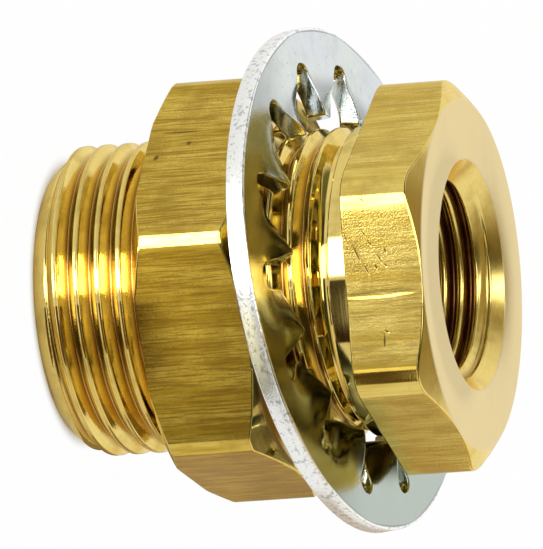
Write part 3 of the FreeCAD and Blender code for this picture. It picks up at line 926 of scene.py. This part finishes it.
def bare_material(name):
    """Material without a shader. Returns it, its tree and the socket of its surface."""
    material = bpy.data.materials.new(name)
    material.use_nodes = True
    tree = material.node_tree
    tree.nodes.remove(tree.nodes["Principled BSDF"])
    return material, tree, tree.nodes["Material Output"].inputs["Surface"]


def studio_piece(name, corners, material):
    """Flat stage piece from its corners in millimetres."""
    mesh = bpy.data.meshes.new(name)
    mesh.from_pydata([[value * MM for value in corner] for corner in corners], [], [range(len(corners))])
    mesh.materials.append(material)
    piece = bpy.data.objects.new(name, mesh)
    bpy.context.scene.collection.objects.link(piece)
    return piece


def make_floor():
    """Pale floor. Seen directly or in the metal it glows white, less so close to the fitting, where it stays
    a plain diffuse floor with the fitting's shadow."""
    material, tree, surface = bare_material("pale_floor")
    diffuse = add_node(tree, "ShaderNodeBsdfDiffuse", {"Color": FLOOR_COLOR})
    glow = add_node(tree, "ShaderNodeEmission", {"Color": WHITE, "Strength": 1.0})
    coordinates = add_node(tree, "ShaderNodeTexCoord").outputs["Object"]
    distance = vector_math(tree, "LENGTH", coordinates)["Value"]
    clear = remap(tree, distance, *(edge * MM for edge in FLOOR_SHADOW_EDGE), 0.0, FLOOR_GLOW_SHARE)
    mirror_level = remap(tree, distance, *(edge * MM for edge in FLOOR_MIRROR_RANGE), *FLOOR_MIRROR_LEVELS)
    rays = add_node(tree, "ShaderNodeLightPath").outputs
    direct = calculate(tree, "MAXIMUM", rays["Is Camera Ray"], rays["Is Transmission Ray"])
    mirrored = product(tree, rays["Is Glossy Ray"], mirror_level)
    share = product(tree, clear, calculate(tree, "MAXIMUM", direct, mirrored))
    mixed = add_node(tree, "ShaderNodeMixShader", {0: share, 1: diffuse.outputs[0], 2: glow.outputs[0]})
    tree.links.new(mixed.outputs[0], surface)
    reach = FLOOR_REACH
    corners = [(-reach, -reach, 0), (reach, -reach, 0), (reach, reach, 0), (-reach, reach, 0)]
    studio_piece("floor", corners, material)


def make_card(name, near, far, angles, color, strengths):
    """Card that lies on the floor and shows in the metal only. It reaches from the near to the far distance,
    between two angles taken from the near side towards +X in degrees, with a strength at either angle."""
    material, tree, surface = bare_material(name)
    level = add_node(tree, "ShaderNodeAttribute", attribute_name="glow").outputs["Fac"]
    coordinates = add_node(tree, "ShaderNodeTexCoord").outputs["Object"]
    mottled = remap(tree, noise(tree, coordinates, 30.0), 0.3, 0.7, 0.9, 1.1)
    glow = add_node(tree, "ShaderNodeEmission", {"Color": color, "Strength": product(tree, level, mottled)})
    tree.links.new(glow.outputs[0], surface)
    first, second = (math.radians(angle) for angle in angles)
    corners = [
        (distance * math.sin(angle), -distance * math.cos(angle), CARD_HEIGHT)
        for distance, angle in ((near, first), (near, second), (far, second), (far, first))
    ]
    card = studio_piece(name, corners, material)
    levels = card.data.attributes.new("glow", "FLOAT", "POINT")
    levels.data.foreach_set("value", [strengths[0], strengths[1], strengths[1], strengths[0]])
    card.visible_camera = False
    card.visible_diffuse = False
    card.visible_shadow = False


def make_world():
    """Studio: white walls, a dim warm ceiling that is darker in front, a warm low side towards +X, a dim side
    towards -X, a dark side behind the camera, and a bright window and a skylight in that side."""
    world = bpy.data.worlds.new("studio")
    world.use_nodes = True
    tree = world.node_tree
    direction = add_node(tree, "ShaderNodeTexCoord").outputs["Generated"]
    side, depth, up = add_node(tree, "ShaderNodeSeparateXYZ", {0: direction}).outputs
    forward = calculate(tree, "MULTIPLY", depth, -1.0)
    azimuth = calculate(tree, "ARCTAN2", side, forward)

    overhead = remap(tree, up, 0.62, 0.92)
    shade = product(
        tree, remap(tree, azimuth, -0.15, 0.05), remap(tree, forward, 0.08, 0.22),
        remap(tree, up, 0.75, 0.85),
    )
    warm = product(tree, remap(tree, side, 0.3, 0.55), remap(tree, up, 0.35, 0.20))
    dim = product(
        tree, remap(tree, side, -0.3, -0.6), remap(tree, forward, -0.5, -0.2),
        remap(tree, up, 0.20, 0.32), remap(tree, up, 0.66, 0.58),
    )
    dark = product(tree, remap(tree, forward, 0.30, 0.55), remap(tree, up, 0.10, 0.25))

    left, right, wide_right = (math.radians(angle) for angle in (*WINDOW_ANGLES, WINDOW_WIDE_ANGLE))
    right_edge = remap(tree, up, 0.47, 0.53, right, wide_right)
    below_top = remap(tree, up, WINDOW_TOP + 0.05, WINDOW_TOP - 0.05)
    window = product(tree, between(tree, azimuth, left, right_edge), below_top)
    skylight_angles = (math.radians(angle) for angle in SKYLIGHT_ANGLES)
    skylight = product(tree, between(tree, azimuth, *skylight_angles), remap(tree, up, 0.86, 0.88))
    window = calculate(tree, "MAXIMUM", window, skylight)

    color = blend_colors(tree, overhead, WHITE, CEILING_COLOR)
    color = blend_colors(tree, shade, color, CEILING_SHADE_COLOR)
    color = blend_colors(tree, warm, color, WARM_SIDE_COLOR)
    color = blend_colors(tree, dim, color, DIM_SIDE_COLOR)
    color = blend_colors(tree, dark, color, DARK_FRONT_COLOR)
    color = blend_colors(tree, window, color, WHITE)
    background = tree.nodes["Background"].inputs
    tree.links.new(color, background["Color"])
    tree.links.new(add_share(tree, window, WINDOW_STRENGTH - 1, 1.0), background["Strength"])
    bpy.context.scene.world = world


def make_camera():
    """Camera at the photograph's angle: it looks down the axis' tilt, is rolled so that the shank lies level,
    and is set off sideways so that the head's face lands on its place in the picture."""
    back = Vector((
        math.sin(CAMERA_AZIMUTH) * math.cos(AXIS_TOWARDS_CAMERA),
        -math.cos(CAMERA_AZIMUTH) * math.cos(AXIS_TOWARDS_CAMERA),
        math.sin(AXIS_TOWARDS_CAMERA),
    ))
    axis_in_picture = (Vector((0, 0, 1)) - back * back.z).normalized()
    across_axis = back.cross(axis_in_picture)
    right = axis_in_picture * math.cos(AXIS_ABOVE_RIGHT) - across_axis * math.sin(AXIS_ABOVE_RIGHT)
    up = back.cross(right)
    pixel = FACE_DISTANCE / FOCAL_PIXELS
    offset_right = (FACE_CENTRE_PIXEL[0] - IMAGE_WIDTH / 2) * pixel
    offset_up = (IMAGE_HEIGHT / 2 - FACE_CENTRE_PIXEL[1]) * pixel
    face_centre = Vector((0, 0, BODY_LENGTH))
    place = face_centre + back * FACE_DISTANCE - right * offset_right - up * offset_up

    camera = bpy.data.cameras.new("camera")
    camera.sensor_width = 36
    camera.lens = FOCAL_PIXELS / max(IMAGE_WIDTH, IMAGE_HEIGHT) * camera.sensor_width
    camera.clip_start = 0.1
    camera.clip_end = 10
    holder = bpy.data.objects.new("camera", camera)
    rotation = Matrix((right, up, back)).transposed()
    holder.matrix_world = Matrix.Translation(place * MM) @ rotation.to_4x4()
    bpy.context.scene.collection.objects.link(holder)
    bpy.context.scene.camera = holder


groups = {
    group.name: group
    for group in (
        make_drawn_streaks_group(), make_turning_lines_group(), make_wear_group(), make_nick_group(),
    )
}
make_coupling_body(make_brass("body_brass", groups, BODY_TONES, BODY_GRAININESS, HEAD_NICKS, HEAD_GRAZES))
make_lock_nut(make_brass("nut_brass", groups, NUT_TONES, NUT_GRAININESS, NUT_NICKS))
make_lock_washer(make_zinc(groups))
make_floor()
for card in STUDIO_CARDS:
    make_card(*card)
make_world()
make_camera()
bpy.context.scene.view_settings.view_transform = "Standard"
